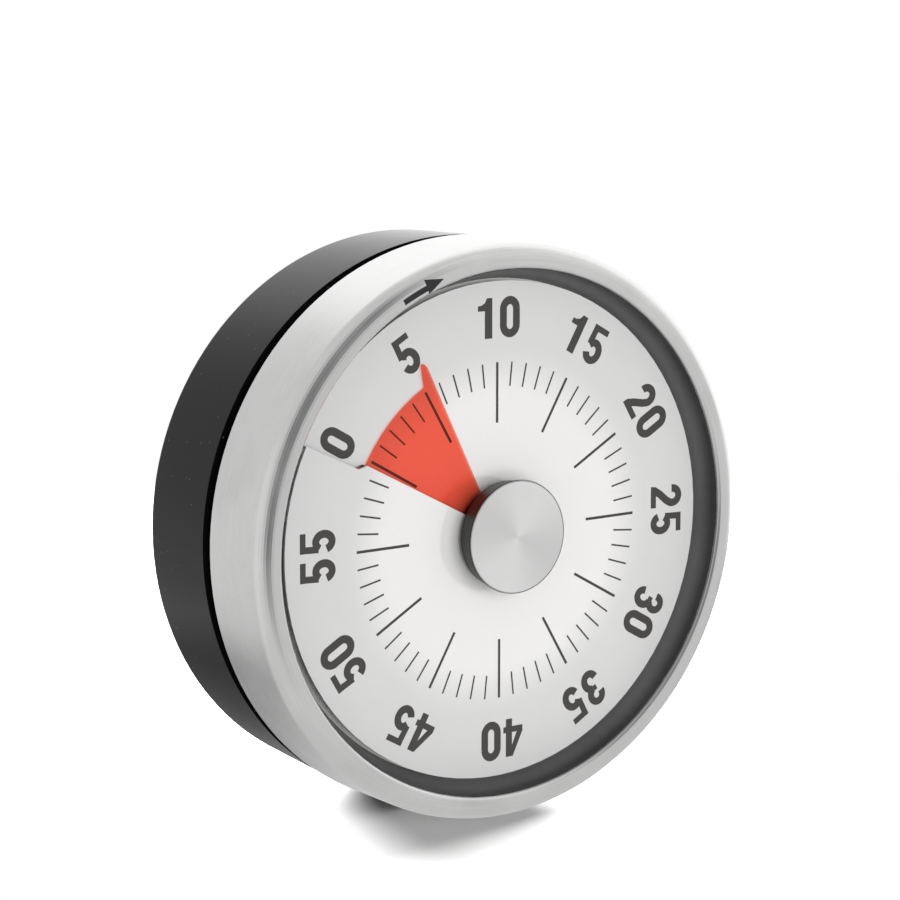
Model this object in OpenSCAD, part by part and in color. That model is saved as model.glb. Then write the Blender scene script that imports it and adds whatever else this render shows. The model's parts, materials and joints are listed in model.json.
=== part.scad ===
// Round wind-up countdown timer with a red film that shows the time left.
// It stands upright on a small foot under the case, with the dial facing -Y and the
// 10-minute mark on top.
// Each piece is drawn about its own axis, with local +Z pointing out of the dial
// and heights counted from the back plane. stand() then sets the whole timer upright.
// Radii follow from body_r inwards. Heights are a stack: floor, bell, movement,
// dial carrier, dial, ring and knob.

/* [Case] */
// Largest radius, at the back edge of the steel ring
body_r = 40; // [39:0.25:42]
// How far the case's front edge lies inside the steel ring
case_step = 0.2; // [0.1:0.05:0.5]
// How much smaller the case is at its back edge than at its front edge
case_taper = 0.5; // [0:0.1:1]
// Height of the case's front edge above the back plane
case_depth = 15.7; // [14:0.1:17]
// Thickness of the case wall at its front edge
case_wall = 2.9; // [2.7:0.1:3.3]
// Thickness of the case floor
case_floor = 2; // [1.6:0.1:2.6]
// Rounding of the case's back edge
case_edge_r = 0.8; // [0.6:0.1:1.8]
// Width of the flat foot under the case
foot_w = 12; // [10:0.5:16]

/* [Back] */
// Width of the bare rim around the rubber pad
pad_margin = 4.8; // [3:0.2:7]
// Thickness of the rubber pad
pad_t = 1; // [0.8:0.1:1.4]
// Height that the pad stands proud of the case
pad_proud = 0.3; // [0.2:0.1:0.6]
// Radius of each magnet
magnet_r = 6; // [5:0.5:6.5]
// Thickness of each magnet
magnet_t = 2; // [1.5:0.1:2.5]
// Distance from the pad's edge in to the magnets
magnet_margin = 3.5; // [1:0.5:5]

/* [Steel ring] */
// Width of the dark gap between the case and the steel ring
joint_gap = 2.3; // [1.4:0.1:2.8]
// How much smaller the ring is behind its rounded corner than at its back edge
ring_taper = 0.25; // [0:0.05:0.5]
// Radius of the ring's rounded front corner
ring_corner_r = 2; // [1.4:0.1:2.2]
// Sheet thickness of the steel ring
ring_t = 0.6; // [0.5:0.05:0.8]
// Width of the ring's front face, rounded corner and lip included
ring_face_w = 3.4; // [3.3:0.05:4.2]

/* [Dial] */
// Width of the dark slope between the ring's mouth and the dial
slope_w = 1.9; // [1.2:0.05:2.2]
// Depth of the dial's low side below the ring's front face
dial_depth = 3.94; // [3.6:0.02:4.4]
// Radius of the hole in the middle of the dial
dial_hole_r = 6.2; // [6:0.1:6.6]
// Thickness of the dial sheet
dial_t = 0.3; // [0.2:0.05:0.4]
// Rise of the dial over one full turn
dial_rise = 1.27; // [1.1:0.01:1.4]
// Length of the slit's sideways step
slit_jog_len = 1; // [0.5:0.1:1.5]

/* [Film] */
// Radius of the red film
film_r = 24.15; // [22:0.05:26]
// Length of the pointer tab on the film's leading edge
tab_len = 2.95; // [2:0.05:4]
// Thickness of the film
film_t = 0.15; // [0.1:0.01:0.2]
// Clear gap between the dial and the film above it
film_gap = 0.22; // [0.15:0.01:0.3]
// Minutes shown at rest
minutes_shown = 5.65; // [1:0.05:20]

/* [Knob] */
// Radius of the knob at its front edge
knob_r = 7.85; // [7.2:0.05:8.5]
// How much smaller the knob is at its foot
knob_taper = 0.5; // [0.2:0.05:0.8]
// Clear gap between the film at its highest and the knob
knob_gap = 0.3; // [0.25:0.05:0.6]
// Height of the knob's front above the ring's front face
knob_proud = 1.25; // [1:0.05:2.5]
// Width of the black rim around the metal cap
knob_rim = 0.13; // [0.12:0.01:0.4]
// Thickness of the metal cap
cap_t = 0.5; // [0.4:0.05:0.6]

/* [Movement] */
// Thickness of the movement plates
plate_t = 1; // [0.8:0.05:1.2]
// Radius of the main arbor
arbor_r = 2; // [1.8:0.05:2.2]
// Radius of the thin arbors
thin_arbor_r = 0.8; // [0.7:0.05:0.9]
// Radius of the pivots in the plates
pivot_r = 0.5; // [0.4:0.05:0.6]
// Radial clearance of a shaft in its hole
running_gap = 0.05; // [0.03:0.01:0.08]
// Teeth of the great wheel
great_teeth = 60; // [56:1:62]
// Teeth of the second wheel
second_teeth = 50; // [46:1:52]
// Teeth of the third wheel
third_teeth = 48; // [46:1:50]
// Leaves of the second and third pinions
pinion_leaves = 10; // [9:1:11]
// Leaves of the escape pinion
escape_leaves = 8; // [8:1:9]
// Module of the great wheel and second pinion
great_module = 0.5; // [0.48:0.01:0.52]
// Module of the second wheel and third pinion
second_module = 0.4; // [0.38:0.01:0.42]
// Module of the third wheel and escape pinion
third_module = 0.35; // [0.33:0.01:0.37]
// Teeth of the escape wheel
escape_teeth = 15; // [13:1:17]
// Tip radius of the escape wheel
escape_r = 5.4; // [5:0.1:5.8]
// Turns of the mainspring
spring_turns = 7; // [5:1:8]
// Strip thickness of the mainspring
spring_t = 0.3; // [0.2:0.05:0.4]
// Strip height of the mainspring
spring_h = 3; // [2.6:0.1:3.4]
// Outer radius of the wound mainspring
spring_r = 12.6; // [11:0.1:13.2]
// Radius of the cam that sets off the bell
cam_r = 8; // [7:0.1:9]
// Angle of the movement in the case
train_angle = 0; // [-180:5:180]

/* [Bell] */
// Radius of the bell
bell_r = 17; // [15:0.5:18]
// Wall thickness of the bell
bell_t = 0.8; // [0.6:0.1:1]
// Depth of the bell
bell_depth = 4.6; // [4:0.1:5]
// Clear height between the case floor and the bell's crown
bell_gap = 2.9; // [2.5:0.1:3.4]
// Distance of the bell's centre from the main arbor
bell_offset = 6; // [4:0.5:7]

/* [Hidden] */
$fn = 96;

eps = 0.01;
cut = 10;                 // overrun of a cutting shape past the faces it opens
seat_gap = 0.02;          // between two pieces that sit together
air_gap = 0.3;            // between pieces that only pass each other
shoulder_gap = 0.15;      // end play of an arbor's shoulders
pivot_inset = 0.1;        // a pivot's end lies this far inside its plate

// Screws
screw_r = 1;
screw_head_r = 1.9;
screw_head_h = 0.8;
screw_slot = 0.4;         // width and depth of the slot
screw_reach = 5;          // thread length below a plate
nut_r = 2;
nut_h = 0.9;

// Radii of the shell
case_front_r = body_r - case_step;
case_back_r = case_front_r - case_taper;
case_bore_r = case_front_r - case_wall;
foot_h = 2;               // from the ring's lowest line up into the case wall
pad_r = case_back_r - pad_margin;
magnet_pitch_r = pad_r - magnet_margin - magnet_r;
pocket_side = 1.4;
pocket_roof = 1;
pad_clear = 0.1;
ring_front_r = body_r - ring_taper;
ring_mouth_r = ring_front_r - ring_face_w;
ring_lip_r = 0.95 * ring_t;
spigot_r = body_r - ring_t - 0.5;
bead_r = body_r - ring_t - 0.06;
bead_lift = 0.7;
bead_h = 0.6;
bead_ramp = 0.3;

// Wheels, pinions and their places, in the plan of the plates
WHEEL_TOOTH = [1.0, 1.25, 0.24, 0.21, 0.07];
PINION_LEAF = [0.6, 1.35, 0.16, 0.18, 0.11];
wheel_rim_w = 1.1;
wheel_arm_w = 1.5;
third_offset = 1;         // how much further out than the second arbor the third one lies
escape_offset = 3.6;
anchor_offset = 0.6;      // how much further out than the escape arbor the anchor lies
anchor_gap = 1.9;         // from the escape wheel's tips to the anchor's axis
release_gap = 9.5;        // from the cam's edge to the release lever's axis
function polar(r, a) = [r * cos(a), r * sin(a)];
function angle_between(a, b, far_side) = acos((a * a + b * b - far_side * far_side) / (2 * a * b));
function tip_r(m, teeth) = m * (teeth / 2 + WHEEL_TOOTH[0]);
cd_second = great_module * (great_teeth + pinion_leaves) / 2;
cd_third = second_module * (second_teeth + pinion_leaves) / 2;
cd_escape = third_module * (third_teeth + escape_leaves) / 2;
cd_anchor = escape_r + anchor_gap;
r_third = cd_second + third_offset;
r_escape = cd_second + escape_offset;
r_anchor = r_escape + anchor_offset;
a_second = train_angle + 90;
a_third = a_second + angle_between(cd_second, r_third, cd_third);
a_escape = a_third + angle_between(r_third, r_escape, cd_escape);
a_anchor = a_escape + angle_between(r_escape, r_anchor, cd_anchor);
p_second = polar(cd_second, a_second);
p_third = polar(r_third, a_third);
p_escape = polar(r_escape, a_escape);
p_anchor = polar(r_anchor, a_anchor);
p_release = polar(cam_r + release_gap, train_angle - 25);

// Frame of the movement
pillar_r = 1.5;
plate_margin = 2.3;
train_reach = max(cd_second + tip_r(second_module, second_teeth),
    r_third + tip_r(third_module, third_teeth), r_escape + escape_r);
pillar_pitch_r = train_reach + pillar_r + air_gap;
plate_r = pillar_pitch_r + plate_margin;
a_pillar = [for (i = [0:3]) train_angle + 45 + 90 * i];
post_r = 2.8;
post_pitch_r = case_bore_r - 1.5 - post_r;
a_posts = [for (i = [0:2]) train_angle + 90 + 120 * i];
ear_r = 3;
ear_neck_w = 5;
carrier_leg_r = 2.6;
carrier_leg_pitch_r = pillar_pitch_r - 6.2;
a_legs = [for (i = [0:2]) train_angle + 120 * i];

// Bell and hammer
bell_angle = train_angle - 76;
bell_plate_gap = 1.2;
bell_crown_r = 3;
bell_steps = 6;
bell_post_r = 2.2;
bell_stud_r = 0.88;
bell_screw_r = 0.78;
hammer_reach = 9;
hammer_head_r = 1.8;
hammer_head_h = 2.4;
hammer_hub_h = 1.6;
hammer_arm_w = 1;
hammer_arm_h = 1.2;
hammer_lift = 2;          // from the bell's crown to the hammer's underside
hammer_stub = 0.6;        // arbor left showing under the hammer
hammer_rest_gap = 0.8;
a_hammer_hit = train_angle - 100;
p_bell = polar(bell_offset, bell_angle);
p_hammer_head = p_bell + polar(bell_r + hammer_rest_gap + hammer_head_r, a_hammer_hit);
p_hammer = p_hammer_head + polar(hammer_reach, a_hammer_hit + 90);

// Heights from the back plane
case_z0 = pad_proud;
floor_z = case_z0 + case_floor;
magnet_top_z = pad_t + magnet_t + seat_gap;
bell_crown_z = floor_z + bell_gap;
hammer_z = bell_crown_z + hammer_lift;
plate_z = bell_crown_z + bell_depth + bell_plate_gap;
inside_z = plate_z + plate_t;
spring_z = inside_z + 0.6;
cam_z = spring_z + spring_h + 0.4;
cam_t = 0.8;
third_z = cam_z;
third_t = 0.7;
great_z = cam_z + cam_t + 0.6;
great_t = 1.2;
second_z = great_z + great_t + 1;
second_t = 0.8;
escape_z = inside_z + 1.2;
escape_t = 0.6;
lever_z = great_z + great_t + 0.2;
lever_t = 1;
front_plate_z = second_z + second_t + 1;
plate_gap = front_plate_z - inside_z;
carrier_z = front_plate_z + plate_t + 1.1;
carrier_t = 1.6;
bezel_seat_z = carrier_z + carrier_t;
dial_low_z = bezel_seat_z + 1.46;        // front face of the dial at the low side of its slit
ring_back_z = case_depth + joint_gap;
ring_front_z = dial_low_z + dial_depth;
bezel_top_z = ring_front_z - ring_t - seat_gap;
film_z = dial_low_z + film_gap;
film_lead_z = film_z + dial_rise * minutes_shown / 60;
knob_foot_z = film_z + film_t + dial_rise + knob_gap;
knob_front_z = ring_front_z + knob_proud;
total_depth = knob_front_z;

// Dial, film and carrier
minute_deg = 6;
top_minute = 10;          // the mark that points straight up
slit_minute = 59.65;      // where the inner slit lies, in minutes
jog_minutes = 0.35;       // how far the outer slit lies behind the inner one
dial_r = ring_mouth_r - slope_w;
dial_steps = 90;
slit_jog_r = film_r + 0.35;
film_steps = 84;
film_minutes = 59.4;      // minutes that the film covers
tab_r = film_r + tab_len;
tab_minutes = 0.65;       // from the tab's root to the leading edge
tab_side_minutes = 0.3;   // from the end of the tab's sloping side to the leading edge
tab_tip_minutes = 0.17;   // from the tab's tip to the leading edge
tab_steps = 12;
tab_shoulder = 0.3;
tab_round = 0.8;
collar_r = dial_hole_r - 0.8;
collar_h = 1.5;
carrier_r = spigot_r - 0.9;
boss_r = 3.6;
head_seat = screw_head_h + 0.2;
pad_posts = 12;
pad_post_r = 1.8;
pad_pitch_r = dial_r - pad_post_r - 0.6;
bezel_foot_r = dial_r + 0.15;
bezel_foot_w = 1.4;
bezel_slope_w = 0.9;
bezel_flange_t = 1.2;

// Knob and main arbor
knob_foot_r = knob_r - knob_taper;
knob_foot_h = 0.5;
knob_edge = 0.25;
cap_r = knob_r - knob_rim;
cap_edge = 0.1;
cap_seat_z = knob_front_z - cap_t - seat_gap;
knob_roof = 0.6;          // black plastic left between the arbor and the cap
key_w = 1;
key_r = arbor_r + 0.7;
main_pivot_r = 1.2;
flange_r = 3.4;
flange_t = 0.6;
clutch_r = 4.3;
clutch_foot_w = 0.4;
clutch_rise = 0.6;
clutch_t = 0.26;
flange_z = great_z + great_t + clutch_rise + clutch_t + 2 * seat_gap;

// Colours
black_abs = [0.16, 0.16, 0.16];
dark_grey = [0.22, 0.22, 0.22];
white_card = [0.93, 0.93, 0.91];
steel = [0.78, 0.78, 0.78];
spring_blue = [0.35, 0.37, 0.42];
brass_yellow = [0.80, 0.66, 0.33];
film_red = [0.92, 0.30, 0.22];

// Sets a piece that was drawn along local +Z upright, with local +Z towards -Y.
module stand() {
    translate([0, total_depth / 2, body_r]) rotate([90, 0, 0]) children();
}

module at(p, z = 0) {
    translate([p[0], p[1], z]) children();
}

// Repeats a piece on a circle of radius r, at each of the angles.
module around(r, angles) {
    for (a = angles) at(polar(r, a)) children();
}

module disc(r, z, h) {
    translate([0, 0, z]) cylinder(r = r, h = h);
}

module tube(r, hole, z, h) {
    difference() {
        disc(r, z, h);
        disc(hole, z - cut, h + 2 * cut);
    }
}

// Slotted screw with its head upwards, seated at height z.
module screw(z, shank_r, shank_len) {
    difference() {
        union() {
            disc(screw_head_r, z, screw_head_h);
            disc(shank_r, z - shank_len, shank_len + eps);
        }
        translate([-screw_head_r - eps, -screw_slot / 2, z + screw_head_h - screw_slot])
            cube([2 * screw_head_r + 2 * eps, screw_slot, screw_slot + eps]);
    }
}

// Local angle of a minute mark, clockwise as seen from the front.
function minute_angle(m) = 90 - (m - top_minute) * minute_deg;

// Closed helical sheet. rows holds rows of points [radius, minute] from hub to rim.
function sheet_point(p, z0, down) = [
    p[0] * cos(minute_angle(p[1])),
    p[0] * sin(minute_angle(p[1])),
    z0 + dial_rise * p[1] / 60 - down
];
function edge_faces(a, b, s) = [[b, a, a + s], [b, a + s, b + s]];
module helix_sheet(rows, z0, t) {
    n = len(rows);
    k = len(rows[0]);
    s = n * k;
    top = [for (r = rows, p = r) sheet_point(p, z0, 0)];
    low = [for (r = rows, p = r) sheet_point(p, z0, t)];
    quads = [for (i = [0:n - 2], j = [0:k - 2])
        [i * k + j, i * k + j + 1, (i + 1) * k + j + 1, (i + 1) * k + j]];
    last = (n - 1) * k;
    faces = concat(
        [for (q = quads) [q[0], q[1], q[2]]],
        [for (q = quads) [q[0], q[2], q[3]]],
        [for (q = quads) [q[2] + s, q[1] + s, q[0] + s]],
        [for (q = quads) [q[3] + s, q[2] + s, q[0] + s]],
        [for (i = [0:n - 2]) for (f = edge_faces((i + 1) * k, i * k, s)) f],
        [for (i = [0:n - 2]) for (f = edge_faces(i * k + k - 1, (i + 1) * k + k - 1, s)) f],
        [for (j = [0:k - 2]) for (f = edge_faces(j, j + 1, s)) f],
        [for (j = [0:k - 2]) for (f = edge_faces(last + j + 1, last + j, s)) f]
    );
    polyhedron(points = concat(top, low), faces = faces);
}

// Toothed outline with six points to a tooth. form holds the tip's and the root's
// distance from the pitch circle, in modules, and then the half thickness at the root,
// at the pitch circle and at the tip, as parts of the tooth pitch.
module gear_outline(teeth, m, form, turn = 0) {
    r = teeth * m / 2;
    p = 360 / teeth;
    radii = [r - form[1] * m, r, r + form[0] * m];
    halves = [for (k = [0:2]) form[2 + k] * p];
    polygon([for (i = [0:teeth - 1], k = [-3, -2, -1, 1, 2, 3])
        let (n = k < 0 ? k + 3 : 3 - k, side = k < 0 ? -1 : 1)
        polar(radii[n], turn + i * p + side * halves[n])]);
}

// Wheel with crossings: a toothed rim, a hub and flat arms.
module crossed_wheel(teeth, m, z, t, hub_r, bore_r, arms, turn) {
    root = m * teeth / 2 - WHEEL_TOOTH[1] * m;
    translate([0, 0, z]) linear_extrude(t) difference() {
        gear_outline(teeth, m, WHEEL_TOOTH, turn);
        difference() {
            circle(r = root - wheel_rim_w);
            circle(r = hub_r);
            for (i = [0:arms - 1]) rotate(i * 360 / arms + turn)
                translate([0, -wheel_arm_w / 2]) square([root, wheel_arm_w]);
        }
        circle(r = bore_r);
    }
}

// Arbor with a pivot at each end.
module arbor() {
    disc(thin_arbor_r, inside_z + shoulder_gap, plate_gap - 2 * shoulder_gap);
    disc(pivot_r, plate_z + pivot_inset, plate_gap + 2 * plate_t - 2 * pivot_inset);
}

// Arbor with a pinion that is longer than the wheel it meets, by 0.4 at each end.
module pinion_arbor(leaves, m, wheel_z, wheel_t, turn) {
    over = 0.4;
    arbor();
    translate([0, 0, wheel_z - over]) linear_extrude(wheel_t + 2 * over)
        gear_outline(leaves, m, PINION_LEAF, turn);
}

// A pinion's turn that puts a gap on the line of centres where the wheel has a tooth.
function mesh_turn(line, leaves, wheel_turn, wheel_teeth) =
    line + 180 + 180 / leaves - (wheel_turn - line) * wheel_teeth / leaves;
function line_to(p, q) = atan2(q[1] - p[1], q[0] - p[0]);
line_third = line_to(p_second, p_third);
line_escape = line_to(p_third, p_escape);
second_turn = mesh_turn(a_second, pinion_leaves, a_second, great_teeth);
third_turn = mesh_turn(line_third, pinion_leaves, line_third, second_teeth);
escape_turn = mesh_turn(line_escape, escape_leaves, line_escape, third_teeth);

magnet_angles = [for (i = [0:3]) 45 + 90 * i];

// Moulded cup with a foot, a spigot for the steel ring, pockets for the magnets and
// posts for the movement. The foot's underside is level with the ring's lowest line.
module rear_case() {
    foot_z = case_z0 + case_edge_r;
    spigot_top = carrier_z - seat_gap;
    bead_z = ring_back_z + bead_lift;
    color(black_abs) stand() difference() {
        union() {
            rotate_extrude() polygon(concat(
                [[0, case_z0], [case_back_r - case_edge_r, case_z0]],
                [for (a = [-90:15:0]) [case_back_r - case_edge_r, case_z0 + case_edge_r] + polar(case_edge_r, a)],
                [[case_front_r, case_depth], [spigot_r, case_depth],
                    [spigot_r, bead_z], [bead_r, bead_z + bead_ramp],
                    [bead_r, bead_z + bead_ramp + bead_h], [spigot_r, bead_z + 2 * bead_ramp + bead_h],
                    [spigot_r, spigot_top], [case_bore_r, spigot_top],
                    [case_bore_r, floor_z], [0, floor_z]]));
            translate([-foot_w / 2, -body_r, foot_z]) cube([foot_w, foot_h, case_depth - foot_z]);
            around(magnet_pitch_r, magnet_angles)
                disc(magnet_r + pocket_side, floor_z - eps, magnet_top_z + pocket_roof - floor_z);
            around(post_pitch_r, a_posts) disc(post_r, floor_z - eps, plate_z - floor_z);
        }
        disc(pad_r + pad_clear, -cut, cut + pad_t);
        around(magnet_pitch_r, magnet_angles) disc(magnet_r + seat_gap, 0, magnet_top_z);
        around(post_pitch_r, a_posts) disc(screw_r + running_gap, plate_z - screw_reach - 1, screw_reach + cut);
    }
}

module back_pad() {
    color(dark_grey) stand() disc(pad_r, 0, pad_t - seat_gap);
}

module magnets() {
    color(steel) stand() around(magnet_pitch_r, magnet_angles) disc(magnet_r, pad_t, magnet_t);
}

// Sheet ring with a rounded front corner, turned in at the front around the dial
// and rolled over at its mouth.
module steel_ring() {
    inner_corner = ring_corner_r - ring_t;
    corner = [ring_front_r - ring_corner_r, ring_front_z - ring_corner_r];
    lip = [ring_mouth_r + ring_lip_r, ring_front_z - ring_lip_r];
    color(steel) stand() rotate_extrude() polygon(concat(
        [[body_r - ring_t, ring_back_z], [body_r, ring_back_z]],
        [for (a = [0:10:90]) corner + polar(ring_corner_r, a)],
        [for (a = [90:15:180]) lip + polar(ring_lip_r, a)],
        [[ring_mouth_r, ring_front_z - ring_t]],
        [for (a = [90:-15:0]) corner + polar(inner_corner, a)]));
}

// Dark sloping ring between the steel ring's mouth and the dial.
module inner_ring() {
    mouth = ring_mouth_r - 0.1;
    outer = ring_front_r - ring_corner_r - 0.1;
    flange_low = bezel_top_z - bezel_flange_t;
    color(dark_grey) stand() rotate_extrude() polygon([
        [bezel_foot_r, bezel_seat_z], [mouth, bezel_top_z], [outer, bezel_top_z],
        [outer, flange_low], [mouth + bezel_slope_w, flange_low],
        [bezel_foot_r + bezel_foot_w, bezel_seat_z]]);
}

// Tray whose pads rise step by step under the dial, with a guide for the main arbor.
module dial_carrier() {
    half_pad_minutes = asin(pad_post_r / pad_pitch_r) / minute_deg;
    leg_z = front_plate_z + plate_t;
    color(white_card) stand() difference() {
        union() {
            disc(carrier_r, carrier_z, carrier_t);
            disc(boss_r, carrier_z - 1, 1 + eps);
            around(carrier_leg_pitch_r, a_legs) disc(carrier_leg_r, leg_z, carrier_z - leg_z + eps);
            for (i = [0:pad_posts - 1])
                let (m = slit_minute - jog_minutes - 60 + 60 * (i + 0.5) / pad_posts,
                    top = dial_low_z + dial_rise * (m - half_pad_minutes) / 60 - dial_t - seat_gap)
                at(polar(pad_pitch_r, minute_angle(m)))
                    disc(pad_post_r, bezel_seat_z - eps, top - bezel_seat_z + eps);
        }
        disc(arbor_r + running_gap, carrier_z - cut, 2 * cut);
        around(carrier_leg_pitch_r, a_legs) {
            disc(screw_r + running_gap, leg_z - eps, cut);
            disc(screw_head_r + pad_clear, bezel_seat_z - head_seat, cut);
        }
    }
}

module carrier_screws() {
    head_z = bezel_seat_z - head_seat + seat_gap;
    color(steel) stand() around(carrier_leg_pitch_r, a_legs)
        screw(head_z, screw_r, head_z - front_plate_z);
}

// Helical dial: the end of the scale overlaps its start at the slit.
module dial() {
    cols = [[dial_hole_r, 0], [slit_jog_r, 0], [slit_jog_r + slit_jog_len, jog_minutes], [dial_r, jog_minutes]];
    rows = [for (i = [0:dial_steps]) [for (c = cols)
        [c[0], slit_minute - 60 - c[1] + 60 * i / dial_steps]]];
    color(white_card) stand() helix_sheet(rows, dial_low_z, dial_t);
}

// Reach of the film's edge at a minute counted back from its leading edge.
function film_edge(back) =
    back > tab_minutes ? film_r :
    back > tab_side_minutes ? film_r + (tab_len - tab_shoulder) * (tab_minutes - back) / (tab_minutes - tab_side_minutes) :
    tab_r - tab_round * pow((back - tab_tip_minutes) / tab_tip_minutes, 2) * (back < tab_tip_minutes ? 1 : 0.5);

// Film on the same helix as the dial, with a pointer tab at its leading edge.
module red_film() {
    hub_r = collar_r + 0.03;
    body = [for (i = [0:film_steps]) film_minutes - (film_minutes - tab_minutes - 0.02) * i / film_steps];
    tab = [for (i = [tab_steps:-1:0]) 0.6 * i / tab_steps];
    rows = [for (b = concat(body, tab))
        [for (r = [hub_r, film_r - 1, film_edge(b)]) [r, minutes_shown - b]]];
    color(film_red) stand() helix_sheet(rows, film_z + film_t, film_t);
}

module film_collar() {
    top = film_lead_z + 0.1;
    color(film_red) stand() difference() {
        tube(collar_r, arbor_r + running_gap, top - collar_h, collar_h);
        translate([-key_w / 2 - running_gap, 0, top - collar_h - cut])
            cube([key_w + 2 * running_gap, key_r + running_gap, collar_h + 2 * cut]);
    }
}

module knob_body() {
    rim_z = knob_front_z - seat_gap;
    color(black_abs) stand() difference() {
        rotate_extrude() polygon([
            [0, knob_foot_z], [knob_foot_r - knob_edge, knob_foot_z], [knob_foot_r, knob_foot_z + knob_edge],
            [knob_foot_r, knob_foot_z + knob_foot_h], [knob_r - 0.05, rim_z - 2 * knob_edge],
            [knob_r, rim_z - knob_edge], [knob_r - knob_rim / 2, rim_z],
            [cap_r + seat_gap, rim_z], [cap_r + seat_gap, cap_seat_z], [0, cap_seat_z]]);
        disc(arbor_r + seat_gap, knob_foot_z - cut, cap_seat_z - knob_roof - knob_foot_z + cut);
    }
}

module knob_cap() {
    color(steel) stand() rotate_extrude() polygon([
        [0, knob_front_z - cap_t], [cap_r, knob_front_z - cap_t],
        [cap_r, knob_front_z - cap_edge], [cap_r - cap_edge, knob_front_z], [0, knob_front_z]]);
}

// Arbor that carries the knob, the film's key, the slipping great wheel and the cam.
module main_arbor() {
    low = inside_z + shoulder_gap;
    key_low = bezel_seat_z + shoulder_gap;
    color(steel) stand() {
        disc(main_pivot_r, plate_z + pivot_inset, plate_t + 2 * pivot_inset);
        disc(arbor_r, low, cap_seat_z - knob_roof - pivot_inset - low);
        translate([-key_w / 2, 0, key_low]) cube([key_w, key_r, knob_foot_z - shoulder_gap - key_low]);
        disc(flange_r, flange_z, flange_t);
    }
}

module great_wheel() {
    color(brass_yellow) stand()
        crossed_wheel(great_teeth, great_module, great_z, great_t, 4.5, arbor_r + seat_gap, 4, a_second);
}

// Dished washer that lets the knob slip past the wheel.
module clutch_spring() {
    z = great_z + great_t + seat_gap;
    top = z + clutch_rise + clutch_t;
    bore = arbor_r + seat_gap;
    color(steel) stand() rotate_extrude() polygon([
        [clutch_r - clutch_foot_w, z], [clutch_r, z], [bore + clutch_foot_w + 0.2, top], [bore, top],
        [bore, top - clutch_t], [bore + clutch_foot_w, top - clutch_t]]);
}

// Disc whose notch lets the release lever drop at zero.
module cam_disc() {
    notch_w = 2.6;
    notch_depth = 1.6;
    notch_lead = 14;
    notch_angle = atan2(p_release[1], p_release[0]) - minutes_shown * minute_deg - notch_lead;
    color(brass_yellow) stand() difference() {
        tube(cam_r, arbor_r + seat_gap, cam_z, cam_t);
        rotate(notch_angle) translate([cam_r - notch_depth, -notch_w / 2, cam_z - eps])
            cube([2 * notch_depth, notch_w, cam_t + 2 * eps]);
    }
}

// Strip wound from the arbor out to its outer end.
function spiral(r0, r1, turns, steps) = [for (i = [0:steps * turns])
    let (f = i / (steps * turns)) polar(r0 + (r1 - r0) * f, turns * 360 * f)];
module mainspring() {
    inner = arbor_r + air_gap;
    outer = spring_r - spring_t;
    inside = spiral(inner, outer, spring_turns, 24);
    outside = spiral(inner + spring_t, outer + spring_t, spring_turns, 24);
    last = len(inside) - 1;
    color(spring_blue) stand() translate([0, 0, spring_z]) linear_extrude(spring_h)
        polygon(concat(inside, [for (i = [last:-1:0]) outside[i]]));
}

module plate_holes(z) {
    for (p = [p_second, p_third, p_escape, p_anchor, p_release, p_hammer])
        at(p) disc(pivot_r + running_gap, z - eps, plate_t + 2 * eps);
    around(pillar_pitch_r, a_pillar) disc(screw_r + seat_gap, z - eps, plate_t + 2 * eps);
}

// Plate with three ears that sit on the posts of the case.
module rear_plate() {
    color(steel) stand() difference() {
        union() {
            disc(plate_r, plate_z, plate_t);
            around(post_pitch_r, a_posts) disc(ear_r, plate_z, plate_t);
            for (a = a_posts) rotate(a) translate([plate_r / 2, -ear_neck_w / 2, plate_z])
                cube([post_pitch_r - plate_r / 2, ear_neck_w, plate_t]);
        }
        plate_holes(plate_z);
        disc(main_pivot_r + running_gap, plate_z - eps, plate_t + 2 * eps);
        around(post_pitch_r, a_posts) disc(screw_r + running_gap, plate_z - eps, plate_t + 2 * eps);
        at(p_bell) disc(bell_stud_r + seat_gap, plate_z - eps, plate_t + 2 * eps);
    }
}

module front_plate() {
    color(steel) stand() difference() {
        disc(plate_r, front_plate_z, plate_t);
        plate_holes(front_plate_z);
        disc(arbor_r + running_gap, front_plate_z - eps, plate_t + 2 * eps);
        around(carrier_leg_pitch_r, a_legs) disc(screw_r + seat_gap, front_plate_z - eps, plate_t + 2 * eps);
    }
}

module pillars() {
    color(steel) stand() around(pillar_pitch_r, a_pillar) {
        disc(pillar_r, inside_z, plate_gap);
        disc(screw_r, plate_z, plate_gap + 2 * plate_t + nut_h);
    }
}

module pillar_nuts() {
    color(brass_yellow) stand() around(pillar_pitch_r, a_pillar)
        translate([0, 0, front_plate_z + plate_t]) difference() {
            cylinder(r = nut_r, h = nut_h, $fn = 6);
            disc(screw_r + seat_gap, -eps, nut_h + 2 * eps);
        }
}

module movement_screws() {
    color(steel) stand() around(post_pitch_r, a_posts) screw(inside_z, screw_r, plate_t + screw_reach);
}

module second_arbor() {
    color(steel) stand() at(p_second)
        pinion_arbor(pinion_leaves, great_module, great_z, great_t, second_turn);
}

module second_wheel() {
    color(brass_yellow) stand() at(p_second) crossed_wheel(second_teeth, second_module, second_z, second_t,
        2.2, thin_arbor_r + seat_gap, 3, line_third);
}

module third_arbor() {
    color(steel) stand() at(p_third)
        pinion_arbor(pinion_leaves, second_module, second_z, second_t, third_turn);
}

module third_wheel() {
    color(white_card) stand() at(p_third) crossed_wheel(third_teeth, third_module, third_z, third_t,
        1.9, thin_arbor_r + seat_gap, 3, line_escape);
}

module escape_arbor() {
    color(steel) stand() at(p_escape)
        pinion_arbor(escape_leaves, third_module, third_z, third_t, escape_turn);
}

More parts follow.
